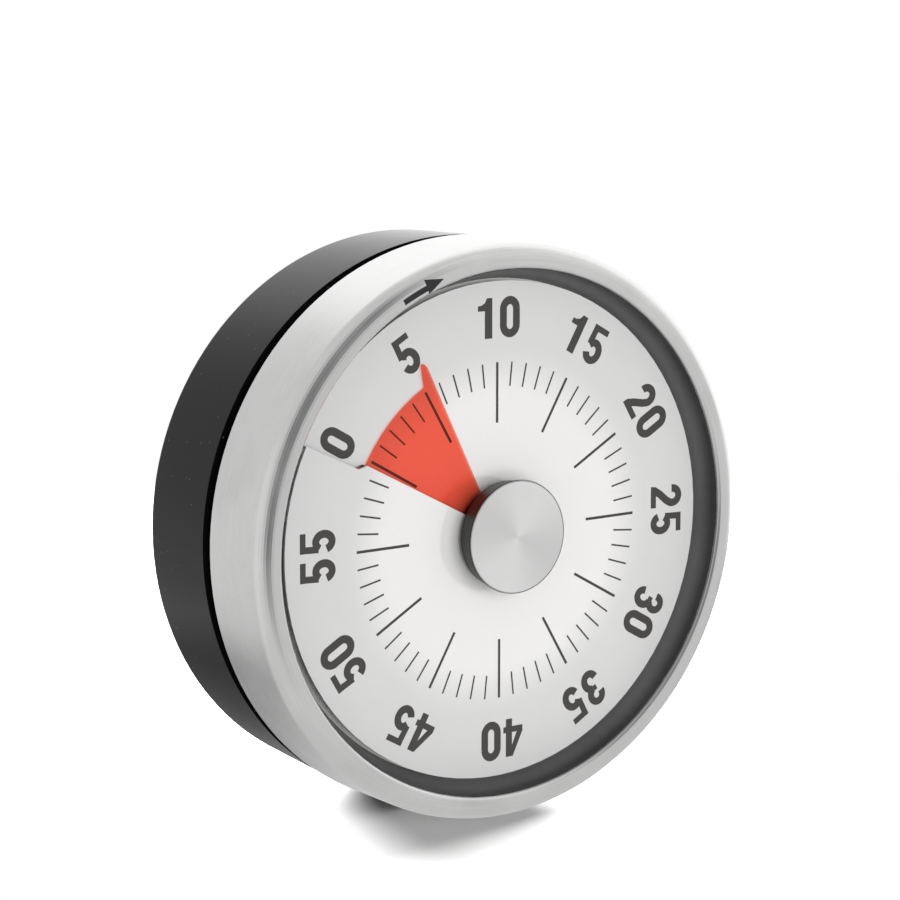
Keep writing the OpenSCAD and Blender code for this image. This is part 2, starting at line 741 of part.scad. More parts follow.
// Pointed teeth that lean forward.
module escape_wheel() {
    root = escape_r - 1.5;
    rim_w = 0.8;
    hub_r = 1.5;
    arm_w = 1;
    p = 360 / escape_teeth;
    color(white_card) stand() at(p_escape, escape_z) linear_extrude(escape_t) difference() {
        polygon([for (i = [0:escape_teeth - 1], k = [0:2])
            [polar(root, i * p), polar(escape_r, (i + 0.42) * p), polar(escape_r - 0.1, (i + 0.56) * p)][k]]);
        difference() {
            circle(r = root - rim_w);
            circle(r = hub_r);
            for (i = [0:2]) rotate(i * 120) translate([0, -arm_w / 2]) square([root, arm_w]);
        }
        circle(r = thin_arbor_r + seat_gap);
    }
}

module anchor_arbor() {
    color(steel) stand() at(p_anchor) arbor();
}

// Two-armed anchor that straddles the escape wheel.
module pallet_anchor() {
    w = 1;
    arm = escape_r - 0.4;
    claw = [[-1.2 * w, 0.4 * w], [-w, arm + 0.6 * w], [0.6 * w, arm + 1.1 * w],
        [1.1 * w, arm + 0.2 * w], [0.3 * w, arm - 0.4 * w], [w, 0.4 * w]];
    color(steel) stand() at(p_anchor) rotate(line_to(p_anchor, p_escape)) difference() {
        union() {
            disc(1.5 * w, escape_z, escape_t);
            for (side = [0, 1]) mirror([0, side, 0])
                translate([0, 0, escape_z]) linear_extrude(escape_t) polygon(claw);
        }
        disc(thin_arbor_r + seat_gap, escape_z - eps, escape_t + 2 * eps);
    }
}

// Weighted bar whose swing times the escapement.
module inertia_lever() {
    half = 4.8;
    bar_w = 1.2;
    weight_r = 1.4;
    hub_r = 1.8;
    color(brass_yellow) stand() at(p_anchor) rotate(a_anchor + 90) difference() {
        union() {
            disc(hub_r, lever_z, lever_t);
            translate([-half, -bar_w / 2, lever_z]) cube([2 * half, bar_w, lever_t]);
            for (s = [-1, 1]) at([s * half, 0]) disc(weight_r, lever_z, lever_t);
        }
        disc(thin_arbor_r + seat_gap, lever_z - eps, lever_t + 2 * eps);
    }
}

module release_arbor() {
    color(steel) stand() at(p_release) arbor();
}

// Lever that rides on the cam and holds the hammer back.
module release_lever() {
    hub_r = 1.7;
    reach = release_gap - air_gap;
    tip = 1.2;
    root_w = 0.9;
    end_w = 0.7;
    arm = [[0, -root_w], [reach - tip, -end_w], [reach, 0], [reach - tip, end_w], [0, root_w]];
    color(steel) stand() at(p_release) rotate(line_to(p_release, [0, 0])) difference() {
        union() {
            disc(hub_r, cam_z, cam_t);
            translate([0, 0, cam_z]) linear_extrude(cam_t) polygon(arm);
        }
        disc(thin_arbor_r + seat_gap, cam_z - eps, cam_t + 2 * eps);
    }
}

// Arbor that passes through the back plate and carries the hammer behind it.
module hammer_arbor() {
    foot = hammer_z - hammer_stub;
    color(steel) stand() at(p_hammer) {
        disc(thin_arbor_r, foot, plate_z - shoulder_gap - foot);
        disc(pivot_r, plate_z - 2 * shoulder_gap, plate_gap + 2 * plate_t + 2 * shoulder_gap - pivot_inset);
        disc(thin_arbor_r, inside_z + shoulder_gap, plate_gap - 2 * shoulder_gap);
    }
}

// Arm with a round head that strikes the bell's rim.
module hammer() {
    color(steel) stand() difference() {
        union() {
            at(p_hammer) disc(hammer_head_r, hammer_z, hammer_hub_h);
            at(p_hammer_head) disc(hammer_head_r, hammer_z, hammer_head_h);
            at(p_hammer, hammer_z) rotate(line_to(p_hammer, p_hammer_head))
                translate([0, -hammer_arm_w / 2, 0]) cube([hammer_reach, hammer_arm_w, hammer_arm_h]);
        }
        at(p_hammer) disc(thin_arbor_r + seat_gap, hammer_z - eps, hammer_hub_h + 2 * eps);
    }
}

// Light wire that draws the hammer back from the bell.
module hammer_spring() {
    wire_r = 0.25;
    coils = 3;
    low = inside_z + 2.5;
    pitch = 2 * wire_r + 0.05;
    color(steel) stand() at(p_hammer) for (i = [0:coils - 1])
        translate([0, 0, low + i * pitch]) rotate_extrude()
            translate([thin_arbor_r + 0.35 + wire_r, 0]) circle(r = wire_r, $fn = 16);
}

// Quarter curve of the bell from its crown to its rim.
function bell_curve(r, z) = [for (i = [0:bell_steps]) let (a = 90 * i / bell_steps)
    [bell_crown_r + (r - bell_crown_r) * sin(a), z + bell_depth * (1 - cos(a))]];

// Spun cup, crown towards the back.
module bell() {
    hole_r = bell_screw_r + pad_clear;
    inner_r = bell_r - bell_t;
    color(steel) stand() at(p_bell, bell_crown_z) rotate_extrude() difference() {
        polygon(concat([[hole_r, 0]], bell_curve(bell_r, 0), [[hole_r, bell_depth]]));
        polygon(concat([[0, bell_t]], bell_curve(inner_r, bell_t),
            [[inner_r, bell_depth + cut], [0, bell_depth + cut]]));
    }
}

module bell_post() {
    seat = bell_crown_z + bell_t + seat_gap;
    color(brass_yellow) stand() at(p_bell) difference() {
        union() {
            disc(bell_post_r, seat, plate_z - seat);
            disc(bell_stud_r, plate_z - eps, plate_t);
        }
        disc(bell_screw_r + seat_gap, seat - eps, 2 * screw_r);
    }
}

module bell_screw() {
    color(steel) stand() at(p_bell, bell_crown_z) mirror([0, 0, 1])
        screw(seat_gap, bell_screw_r, bell_t + 1.7 * screw_r);
}

rear_case();
back_pad();
magnets();
steel_ring();
inner_ring();
dial_carrier();
carrier_screws();
dial();
red_film();
film_collar();
knob_body();
knob_cap();
main_arbor();
great_wheel();
clutch_spring();
cam_disc();
mainspring();
rear_plate();
front_plate();
pillars();
pillar_nuts();
movement_screws();
second_arbor();
second_wheel();
third_arbor();
third_wheel();
escape_arbor();
escape_wheel();
anchor_arbor();
pallet_anchor();
inertia_lever();
release_arbor();
release_lever();
hammer_arbor();
hammer();
hammer_spring();
bell();
bell_post();
bell_screw();
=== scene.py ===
# %% [markdown]
# A round wind-up countdown timer. The construction (case, rings, dial, film, knob and the
# clockwork inside) arrives as a finished CAD model. This script is the finishing shop:
# it gives each piece its surface, prints the scale, and sets up the table, the lamps and
# the camera. A model could also be dressed by hand in the material editor; a script was
# chosen because every value then has a name and the result is the same each time.

import json
import math

import bmesh
import bpy
from mathutils import Matrix, Vector
from mathutils.geometry import delaunay_2d_cdt


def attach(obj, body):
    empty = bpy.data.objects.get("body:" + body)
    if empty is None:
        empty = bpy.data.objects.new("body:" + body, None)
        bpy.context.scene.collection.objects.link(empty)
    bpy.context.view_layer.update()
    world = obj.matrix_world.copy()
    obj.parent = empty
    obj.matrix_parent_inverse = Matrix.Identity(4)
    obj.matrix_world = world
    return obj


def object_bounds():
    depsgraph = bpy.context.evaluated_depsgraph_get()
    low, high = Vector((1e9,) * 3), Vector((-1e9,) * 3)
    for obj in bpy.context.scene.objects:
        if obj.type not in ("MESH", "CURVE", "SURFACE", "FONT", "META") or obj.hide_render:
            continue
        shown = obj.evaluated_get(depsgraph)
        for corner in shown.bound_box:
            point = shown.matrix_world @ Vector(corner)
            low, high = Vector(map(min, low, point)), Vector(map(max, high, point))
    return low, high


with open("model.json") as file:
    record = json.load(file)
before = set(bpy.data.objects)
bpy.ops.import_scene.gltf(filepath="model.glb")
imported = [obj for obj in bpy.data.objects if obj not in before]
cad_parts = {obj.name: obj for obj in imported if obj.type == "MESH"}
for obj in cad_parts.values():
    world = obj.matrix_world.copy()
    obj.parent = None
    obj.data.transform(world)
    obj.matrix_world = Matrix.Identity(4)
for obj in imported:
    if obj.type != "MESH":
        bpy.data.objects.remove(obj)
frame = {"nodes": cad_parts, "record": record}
nodes = frame["nodes"]
size_at_load = [list(corner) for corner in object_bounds()]

# %% [markdown]
# Where things are. The timer stands upright with its dial towards -Y, but a maker
# measures it lying on its back: heights are counted from the flat back plane towards the
# dial. Two small helpers translate between the two, so that every later number can be
# read off the real object. The dial isn't flat: it climbs slowly clockwise, so that its
# end overlaps its start at a slit, and whatever is printed has to climb with it. The slit
# lies SLIT_LAG of a minute before the 0, and twice that outside SLIT_STEP_RADIUS.

# %% Places on the timer
MM = 0.001
DEPTH = size_at_load[1][1] - size_at_load[0][1]
AXIS_HEIGHT = 40 * MM
FRONT_FACE = 30.5
DIAL_LOW = 26.56
DIAL_RISE = 1.27
SLIT_LAG = 0.35
SLIT_STEP_RADIUS = 25.5


def placed(x, up, height):
    """Point of the scene from x and up, counted from the dial's centre, and height, in mm."""
    return Vector((x * MM, DEPTH / 2 - height * MM, AXIS_HEIGHT + up * MM))


def minute_angle(minute):
    """Direction of a minute mark as the dial is read: 10 is up and minutes run clockwise."""
    return math.radians(90 - (minute - 10) * 6)


def dial_height(x, up):
    """Height of the dial's front face at a point of the dial."""
    minute = (90 - math.degrees(math.atan2(up, x))) / 6 + 10
    slit = -SLIT_LAG * (2 if math.hypot(x, up) > SLIT_STEP_RADIUS else 1)
    return DIAL_LOW + DIAL_RISE * ((minute - slit) % 60 + slit) / 60


print("depth %.2f mm, dial from %.2f to %.2f mm" % (DEPTH / MM, DIAL_LOW, DIAL_LOW + DIAL_RISE))

# %% [markdown]
# A recipe for materials. In Blender a material is a small network of nodes: textures make
# numbers, and the numbers steer a shader. The network could be wired by hand for each
# material, but most of the wiring repeats, so this class writes it: it adds a node, feeds
# its sockets with values or with other nodes, and has short words for clouds of noise,
# for stretching a value and for bumps. A value that is the same all over the surface goes
# straight onto the shader's own socket.

# %% A recipe book for materials
CLOUD_LOW, CLOUD_HIGH = 0.3, 0.7


class Recipe:
    """One material and its nodes."""

    def __init__(self, name, tree=None):
        self.material = None if tree else bpy.data.materials.new(name)
        if self.material:
            self.material.use_nodes = True
        self.tree = tree or self.material.node_tree
        self.tree.nodes.clear()
        self.place = self.add("ShaderNodeTexCoord").outputs["Object"]

    def add(self, kind, setting=None, **inputs):
        """Adds a node. An input is named by its socket, or by an underscore and its number."""
        node = self.tree.nodes.new(kind)
        for key, value in (setting or {}).items():
            setattr(node, key, value)
        for key, value in inputs.items():
            numbered = key[0] == "_"
            socket = node.inputs[int(key[1:])] if numbered else node.inputs[key.replace("_", " ")]
            if isinstance(value, bpy.types.NodeSocket):
                self.tree.links.new(value, socket)
            else:
                socket.default_value = value
        return node

    def math(self, operation, a, b=0.0):
        return self.add("ShaderNodeMath", {"operation": operation}, _0=a, _1=b).outputs[0]

    def ramp(self, value, start, stop, low, high, smooth=False):
        """The value's stretch from start to stop, mapped to low .. high."""
        kind = {"interpolation_type": "SMOOTHSTEP" if smooth else "LINEAR"}
        found = self.add("ShaderNodeMapRange", kind, Value=value, From_Min=start, From_Max=stop,
                         To_Min=low, To_Max=high)
        return found.outputs[0]

    def vectors(self, operation, first, second):
        """One number from two vectors, such as their DISTANCE or their DOT_PRODUCT."""
        found = self.add("ShaderNodeVectorMath", {"operation": operation}, _0=first, _1=second)
        return found.outputs["Value"]

    def noise(self, scale, detail=3.0, at=None):
        """Cloudy values, mostly from CLOUD_LOW to CLOUD_HIGH, with that many clouds to the metre."""
        place = at or self.place
        return self.add("ShaderNodeTexNoise", None, Vector=place, Scale=scale, Detail=detail).outputs[0]

    def stretch(self, noise, low, high):
        """Noise stretched so that its clouds run from low to high."""
        return self.ramp(noise, CLOUD_LOW, CLOUD_HIGH, low, high)

    def blend(self, factor, first, second):
        """A colour between two colours, each given in numbers or by a socket."""
        ends = [c if isinstance(c, bpy.types.NodeSocket) else (*c, 1) for c in (first, second)]
        found = self.add("ShaderNodeMix", {"data_type": "RGBA"}, Factor=factor, _6=ends[0], _7=ends[1])
        return found.outputs[2]

    def bump(self, height, depth):
        return self.add("ShaderNodeBump", None, Height=height, Distance=depth).outputs[0]

    def round_the_axis(self):
        """Distance from the timer's axis, place along it, and the turn round it in radians."""
        across, along, rise = self.add("ShaderNodeSeparateXYZ", None, Vector=self.place).outputs
        up = self.math("SUBTRACT", rise, AXIS_HEIGHT)
        squares = self.math("ADD", self.math("MULTIPLY", across, across), self.math("MULTIPLY", up, up))
        return self.math("SQRT", squares), along, self.math("ARCTAN2", up, across)

    def lathe_marks(self, stretch):
        """Coordinates in which noise becomes long marks round the timer's axis."""
        radius, along, turn = self.round_the_axis()
        way_round = self.math("MULTIPLY", turn, stretch)
        return self.add("ShaderNodeCombineXYZ", None, _0=radius, _1=along, _2=way_round).outputs[0]

    def done(self, shader):
        output = self.add("ShaderNodeOutputMaterial")
        self.tree.links.new(shader.outputs[0], output.inputs["Surface"])
        return self.material


finishes = {}
print("recipe book ready")

# %% [markdown]
# Black moulded plastic. The case comes out of a spark-eroded mould, which leaves a matt
# skin with a very fine grain. Dust shows on it as pale specks. The grain could be
# modelled, but it is far finer than any mesh, so a noise texture tilts the surface a
# little (bump) and a second, larger one makes the sheen uneven. The specks are the middles
# of a Voronoi texture's cells: out to DUST_REACH of a cell, and only in the few cells
# whose own colour is drawn high enough.

# %% The case
CASE_BLACK = (0.006, 0.006, 0.0065)
DUST_GREY = (0.13, 0.13, 0.13)
CELLS_TO_THE_METRE = 1400.0
DUST_REACH = 0.17
DUSTY_SHARE = 0.05


def moulded_case():
    r = Recipe("case_black")
    sheen = r.stretch(r.noise(140.0, 4.0), 0.14, 0.20)
    cells = r.add("ShaderNodeTexVoronoi", {"feature": "F1"}, Vector=r.place, Scale=CELLS_TO_THE_METRE)
    small = r.math("LESS_THAN", cells.outputs["Distance"], DUST_REACH)
    draw = r.add("ShaderNodeSeparateColor", None, Color=cells.outputs["Color"]).outputs[0]
    speck = r.math("MULTIPLY", small, r.math("GREATER_THAN", draw, 1 - DUSTY_SHARE))
    colour = r.blend(speck, CASE_BLACK, DUST_GREY)
    shader = r.add("ShaderNodeBsdfPrincipled", None, Base_Color=colour, Roughness=sheen, IOR=1.24,
                   Normal=r.bump(r.noise(2600.0, 3.0), 0.006 * MM))
    return r.done(shader)


finishes["case_black"] = moulded_case()
print("case_black: matt moulded plastic with dust")

# %% [markdown]
# The other plastics and the rubber. A rubber pad on the back keeps the magnets from
# scratching a door, and the small wheels are moulded. Each could have a recipe of its
# own, but they differ only in colour, in how rough they are and in the size of their
# grain, so one function serves them all.

# %% Other plastics and rubber
DARKER = 0.9


def plain_plastic(name, colour, rough, grain_scale, grain_depth):
    """Moulded plastic or rubber: even colour, fine grain, slightly uneven sheen."""
    r = Recipe(name)
    sheen = r.stretch(r.noise(180.0), rough - 0.04, rough + 0.04)
    darker = [DARKER * part for part in colour]
    shade = r.blend(r.noise(90.0, 4.0), darker, colour)
    shader = r.add("ShaderNodeBsdfPrincipled", None, Base_Color=shade, Roughness=sheen,
                   Normal=r.bump(r.noise(grain_scale, 2.0), grain_depth))
    return r.done(shader)


finishes["pad_rubber"] = plain_plastic("pad_rubber", (0.022, 0.022, 0.022), 0.75, 1600.0, 0.05 * MM)
finishes["wheel_plastic"] = plain_plastic("wheel_plastic", (0.78, 0.78, 0.75), 0.45, 2400.0, 0.01 * MM)
print("rubber pad and moulded wheels")

# %% [markdown]
# The dark ring slopes from the dial up to the steel. Its colour is painted light and
# shade: lighter at its foot beside the white dial, and nearly black under the lip, in the
# lip's painted shadow. Two rings of two colours would show a line between them, so one
# colour runs into the other with the distance from the axis. Its sheen is low, or it would
# mirror the white dial beside it.

# %% The dark ring
SLOPE_FOOT, SLOPE_TOP = 34.6 * MM, 36.1 * MM
# painted light at the foot and painted shade under the lip, not two real colours
LIT_CHARCOAL = (0.26, 0.26, 0.262)
PAINTED_LIP_SHADOW = (0.034, 0.034, 0.035)


def dark_ring():
    r = Recipe("ring_dark")
    cloud = r.stretch(r.noise(90.0, 4.0), -0.06, 0.06)
    # painted shade: the colour darkens up the slope into the lip's shadow
    painted_lip_shade = r.ramp(r.round_the_axis()[0], SLOPE_FOOT, SLOPE_TOP, 0.0, 1.0)
    colour = r.blend(r.math("ADD", painted_lip_shade, cloud), LIT_CHARCOAL, PAINTED_LIP_SHADOW)
    sheen = r.stretch(r.noise(180.0), 0.36, 0.44)
    shader = r.add("ShaderNodeBsdfPrincipled", None, Base_Color=colour, Roughness=sheen, IOR=1.33,
                   Normal=r.bump(r.noise(2200.0, 2.0), 0.003 * MM))
    return r.done(shader)


finishes["ring_dark"] = dark_ring()
print("ring_dark: charcoal, darker under the lip")

# %% [markdown]
# The knob is black plastic. The sharp edge that holds its metal cap is painted as a pale
# grey line, a painted highlight where light catches the rim. The line could be a ring of
# its own; it is thinner than a hair, so the colour simply changes where the front face
# begins.

# %% The knob
KNOB_FRONT = -DEPTH / 2
PAINTED_HIGHLIGHT_DEPTH = 0.10 * MM
KNOB_BLACK = (0.011, 0.010, 0.0095)
PAINTED_HIGHLIGHT_GREY = (0.42, 0.42, 0.41)


def knob_plastic():
    r = Recipe("knob_black")
    along = r.round_the_axis()[1]
    # painted highlight: the front edge of the knob is painted pale grey
    lighter = r.ramp(along, KNOB_FRONT + PAINTED_HIGHLIGHT_DEPTH, KNOB_FRONT + PAINTED_HIGHLIGHT_DEPTH / 2, 0.0, 1.0)
    colour = r.blend(lighter, KNOB_BLACK, PAINTED_HIGHLIGHT_GREY)
    sheen = r.stretch(r.noise(180.0), 0.36, 0.44)
    shader = r.add("ShaderNodeBsdfPrincipled", None, Base_Color=colour, Roughness=sheen, IOR=1.4,
                   Normal=r.bump(r.noise(2600.0, 2.0), 0.004 * MM))
    return r.done(shader)


finishes["knob_black"] = knob_plastic()
print("knob_black: plastic with a worn edge")

# %% [markdown]
# Steel brushed while it turns. The ring is pressed from sheet, then spun against an
# abrasive belt, so thousands of hair-thin scratches run round it. Drawing them one by one
# would need a huge texture. Instead the shader is told that the surface scatters more
# across the scratches than along them (anisotropy, turned a quarter because the scratches
# follow the tangent), and a noise texture that is stretched round the axis varies the
# colour and the sheen. Larger soft patches are where a hand has touched the metal. The
# faces of the lip that is rolled into the mouth are made darker: they are told from the
# rest by the way they face, towards the axis.

# %% The steel ring
QUARTER_TURN = 0.25
TURNING_MARKS = 0.0006
SCRATCH_WEIGHT, PATCH_WEIGHT = 0.4, 0.6
INWARD_FROM, INWARD_FULLY = -0.4, -0.75


def facing_inward(r):
    """0 to 1: how far a surface faces the timer's axis."""
    axis = (0, 0, AXIS_HEIGHT)
    from_axis = r.add("ShaderNodeVectorMath", {"operation": "SUBTRACT"}, _0=r.place, _1=axis)
    normal = r.add("ShaderNodeNewGeometry").outputs["Normal"]
    outward = r.vectors("DOT_PRODUCT", from_axis.outputs[0], normal)
    outward = r.math("DIVIDE", outward, r.round_the_axis()[0])
    return r.ramp(outward, INWARD_FROM, INWARD_FULLY, 0.0, 1.0, True)


def turned_metal(name, colour, rough, spread, scratch_scale, patch_scale, patchy, inside=1.0):
    """Metal finished while turning. patchy is how much the colour and sheen vary, and
    inside is how bright the faces towards the axis are beside the others."""
    r = Recipe(name)
    scratches = r.noise(scratch_scale, 5.0, r.lathe_marks(TURNING_MARKS))
    patches = r.noise(patch_scale, 4.0)
    patchy_sheen = r.stretch(patches, rough - patchy, rough + patchy)
    sheen = r.math("ADD", r.stretch(scratches, -0.03, 0.03), patchy_sheen)
    weighed = r.math("MULTIPLY", scratches, SCRATCH_WEIGHT), r.math("MULTIPLY", patches, PATCH_WEIGHT)
    lighter = r.math("ADD", *weighed)
    dull = [part * (1 - patchy) for part in colour]
    bright = [part * (1 + patchy) for part in colour]
    shade = r.blend(r.ramp(lighter, 0.35, 0.65, 0.0, 1.0), dull, bright)
    # the faces towards the axis, on the lip in the mouth, are made darker
    if inside < 1:
        shade = r.blend(facing_inward(r), shade, [inside * part for part in colour])
    round_way = r.add("ShaderNodeTangent", {"direction_type": "RADIAL", "axis": "Y"}).outputs[0]
    shader = r.add("ShaderNodeBsdfPrincipled", None, Base_Color=shade, Metallic=1.0, Roughness=sheen,
                   Anisotropic=spread, Anisotropic_Rotation=QUARTER_TURN, Tangent=round_way,
                   Normal=r.bump(scratches, 0.0015 * MM))
    return r.done(shader)


finishes["ring_steel"] = turned_metal(
    "ring_steel", (0.70, 0.70, 0.695), rough=0.22, spread=0.75,
    scratch_scale=9000.0, patch_scale=110.0, patchy=0.075, inside=0.35)
print("ring_steel: brushed round the axis")

# %% [markdown]
# The knob's cap is a thin aluminium disc faced on a lathe. The same recipe fits, with
# finer circles and fewer patches: on a flat disc the spread across the circles makes the
# fan of pale and dark wedges that meet in the middle.

# %% The knob's cap
finishes["cap_aluminium"] = turned_metal(
    "cap_aluminium", (0.88, 0.88, 0.875), rough=0.34, spread=0.7,
    scratch_scale=14000.0, patch_scale=260.0, patchy=0.02)
print("cap_aluminium: faced on a lathe")

# %% [markdown]
# The dial is a smooth white plastic sheet. Inside the scale it is bright white; further
# out, where the numbers are, it is painted a little greyer, as painted shade towards the
# ring. A picture could be pasted on it, but a formula is sharper and smaller: the colour
# follows the distance from the axis.

# %% The dial
WHITE_TO, GREY_FROM, GREY_TO = 18 * MM, 26 * MM, 34 * MM
DIAL_WHITE = (0.80, 0.793, 0.783)
DIAL_PAINTED_SHADE = (0.605, 0.603, 0.60)
PAINTED_SHADE_BY_THE_NUMBERS = 0.82


def dial_sheet():
    r = Recipe("dial_white")
    radius = r.round_the_axis()[0]
    cloud = r.stretch(r.noise(60.0, 4.0), -0.05, 0.05)
    # painted shade: the dial turns greyer towards the ring
    inner = r.ramp(radius, WHITE_TO, GREY_FROM, 0.0, PAINTED_SHADE_BY_THE_NUMBERS, True)
    outer = r.ramp(radius, GREY_FROM, GREY_TO, 0.0, 1 - PAINTED_SHADE_BY_THE_NUMBERS)
    painted_dial_shade = r.math("ADD", r.math("ADD", inner, cloud), outer)
    colour = r.blend(painted_dial_shade, DIAL_WHITE, DIAL_PAINTED_SHADE)
    shader = r.add("ShaderNodeBsdfPrincipled", None, Base_Color=colour, Roughness=0.5,
                   Normal=r.bump(r.noise(2400.0, 2.0), 0.002 * MM))
    return r.done(shader)


finishes["dial_white"] = dial_sheet()
print("dial_white: white inside, greyer outside")

# %% [markdown]
# Screen-printing ink dries to a soft, warm black on the dial, and to a denser black on
# the steel. One flat black would do for marks this small, but ink is never quite even, so
# it takes the plastics' recipe, whose colour and sheen vary a little.

# %% The inks
finishes["dial_print"] = plain_plastic("dial_print", (0.052, 0.049, 0.047), 0.6, 3000.0, 0.002 * MM)
finishes["ring_print"] = plain_plastic("ring_print", (0.014, 0.014, 0.014), 0.55, 3000.0, 0.002 * MM)
print("dial_print and ring_print: uneven inks")

# %% [markdown]
# The red film is a clear sheet dyed red. A solid red plastic would hide the ticks below
# it, and a glass shader would need many light paths to shine through. The dye is
# therefore a Transparent shader with a pale red tint: light is tinted on the way in, at
# the dial, and on the way out, which adds up to a strong red and leaves the ticks visible.
# A little of the light is scattered by the dye, and the skin of the film is glossy. Light
# that leaves the film from inside isn't bent here, so the gloss is kept to its outside.

# %% The red film
TINT = (1.0, 0.59, 0.51, 1)
DYE = (0.95, 0.10, 0.05, 1)


def dyed_film():
    r = Recipe("film_red")
    haze = r.stretch(r.noise(300.0), 0.008, 0.016)
    through = r.add("ShaderNodeBsdfTransparent", None, Color=TINT)
    dye = r.add("ShaderNodeBsdfDiffuse", None, Color=DYE)
    body = r.add("ShaderNodeMixShader", None, Fac=haze, _1=through.outputs[0], _2=dye.outputs[0])
    skin = r.add("ShaderNodeBsdfAnisotropic", None, Color=(1, 1, 1, 1), Roughness=0.16)
    mirrored = r.add("ShaderNodeFresnel", None, IOR=1.35).outputs[0]
    outside = r.math("SUBTRACT", 1.0, r.add("ShaderNodeNewGeometry").outputs["Backfacing"])
    gloss = r.math("MULTIPLY", mirrored, outside)
    both = r.add("ShaderNodeMixShader", None, Fac=gloss, _1=body.outputs[0], _2=skin.outputs[0])
    return r.done(both)


finishes["film_red"] = dyed_film()
print("film_red: dyed clear sheet")

# %% [markdown]
# The clockwork behind the dial is hardly ever seen, but each piece still has its own
# finish: zinc-plated plates, turned arbors, blued springs, stamped brass wheels and a
# plated bell. One grey for all would pass from outside, but not in an opened timer. All
# carry fine marks that run round the axis, so one recipe takes their colour and grain.

# %% The clockwork's metals
DULLER = 0.85
FINE_MARKS = 0.0004


def plain_metal(name, colour, rough, grain_scale, grain_depth):
    """Plated, stamped or turned metal with fine marks round the axis."""
    r = Recipe(name)
    grain = r.noise(grain_scale, 4.0, r.lathe_marks(FINE_MARKS))
    sheen = r.stretch(grain, rough - 0.06, rough + 0.06)
    duller = [DULLER * part for part in colour]
    shade = r.blend(r.noise(250.0, 4.0), duller, colour)
    shader = r.add("ShaderNodeBsdfPrincipled", None, Base_Color=shade, Metallic=1.0, Roughness=sheen,
                   Normal=r.bump(grain, grain_depth))
    return r.done(shader)


finishes["plate_steel"] = plain_metal("plate_steel", (0.62, 0.62, 0.61), 0.35, 5000.0, 0.006 * MM)
finishes["magnet_plate"] = plain_metal("magnet_plate", (0.66, 0.65, 0.64), 0.25, 3000.0, 0.003 * MM)
finishes["arbor_steel"] = plain_metal("arbor_steel", (0.56, 0.56, 0.57), 0.22, 12000.0, 0.003 * MM)
finishes["spring_steel"] = plain_metal("spring_steel", (0.17, 0.20, 0.29), 0.3, 8000.0, 0.003 * MM)
finishes["wheel_brass"] = plain_metal("wheel_brass", (0.78, 0.57, 0.24), 0.28, 7000.0, 0.005 * MM)
finishes["bell_steel"] = plain_metal("bell_steel", (0.70, 0.70, 0.69), 0.16, 4000.0, 0.003 * MM)
print(len(finishes), "finishes")

# %% [markdown]
# Every CAD piece now takes the finish that the record names for it, in a loop and not by
# hand, so that none is forgotten. CAD surfaces arrive as flat facets. Smooth shading hides
# them on round faces, and edges sharper than 30 degrees are marked so that they stay
# crisp.

# %% Give each piece its finish
SHARP_FROM = math.radians(30)
slots = {part["node"]: part["material_slot"] for part in frame["record"]["subparts"]}
for name, piece in nodes.items():
    mesh = piece.data
    mesh.materials.clear()
    mesh.materials.append(finishes[slots[name]])
    mesh.polygons.foreach_set("material_index", [0] * len(mesh.polygons))
    mesh.shade_smooth()
    mesh.set_sharp_from_angle(angle=SHARP_FROM)
print("finishes given to", len(slots), "pieces")

# %% [markdown]
# Printing. Ink lies on a surface as a film a few hundredths of a millimetre thick. A
# texture would need a picture, and decal planes would float over the climbing dial, so
# each mark is a real, very thin piece. The outlines of a mark may overlap, as the strokes
# of a letter do. A Delaunay triangulation melts them into one flat sheet, where points
# nearer than SAME_POINT mm become one and only what lies inside an outline is kept. The
# sheet is then given its thickness and laid on the surface point by point.

# %% Print a mark
INK = 0.02
INK_FOOT = 0.002
KEEP_INSIDE = 1
SAME_POINT = 0.0005


def printed(name, outlines, height_at, slot_name, body="housing"):
    """One printed piece from outlines [(x, up), ...] in mm, laid on a surface."""
    points = [Vector(point) for outline in outlines for point in outline]
    loops = []
    for outline in outlines:
        start = loops[-1][-1] + 1 if loops else 0
        loops.append(list(range(start, start + len(outline))))
    flat, _, triangles, _, _, covered = delaunay_2d_cdt(points, [], loops, KEEP_INSIDE, SAME_POINT)
    mesh = bmesh.new()
    corners = [mesh.verts.new((x, up, 0.0)) for x, up in flat]
    for triangle, outlines_here in zip(triangles, covered):
        if outlines_here:
            mesh.faces.new([corners[i] for i in triangle])
    bmesh.ops.delete(mesh, geom=[v for v in mesh.verts if not v.link_faces], context="VERTS")
    lifted = bmesh.ops.extrude_face_region(mesh, geom=mesh.faces[:])["geom"]
    top = {part for part in lifted if isinstance(part, bmesh.types.BMVert)}
    for vertex in mesh.verts:
        x, up = vertex.co.x, vertex.co.y
        vertex.co = placed(x, up, height_at(x, up) + (INK if vertex in top else INK_FOOT))
    bmesh.ops.recalc_face_normals(mesh, faces=mesh.faces[:])
    data = bpy.data.meshes.new(name)
    mesh.to_mesh(data)
    mesh.free()
    piece = bpy.data.objects.new(name, data)
    bpy.context.scene.collection.objects.link(piece)
    data.materials.append(finishes[slot_name])
    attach(piece, body)
    return piece


print("ready to print")

# %% [markdown]
# The scale has a tick for every minute and a longer, thicker one for every fifth. All end
# on one circle just inside the numbers. Sixty bars could be placed one by one, but each is
# the same bar between two radii, turned to its minute. The tick at 60 would lie on the one
# at 0, so there are sixty and not sixty-one.

# %% Print the scale
SCALE_RADIUS = 23.35
LONG_TICK = {"inner": 15.05, "width": 0.38}
SHORT_TICK = {"inner": 20.05, "width": 0.24}


def turned(outline, angle, radius=0.0):
    """Moves an outline out by radius along +up, then turns it about the dial's centre."""
    c, s = math.cos(angle), math.sin(angle)
    return [(x * c - (up + radius) * s, x * s + (up + radius) * c) for x, up in outline]


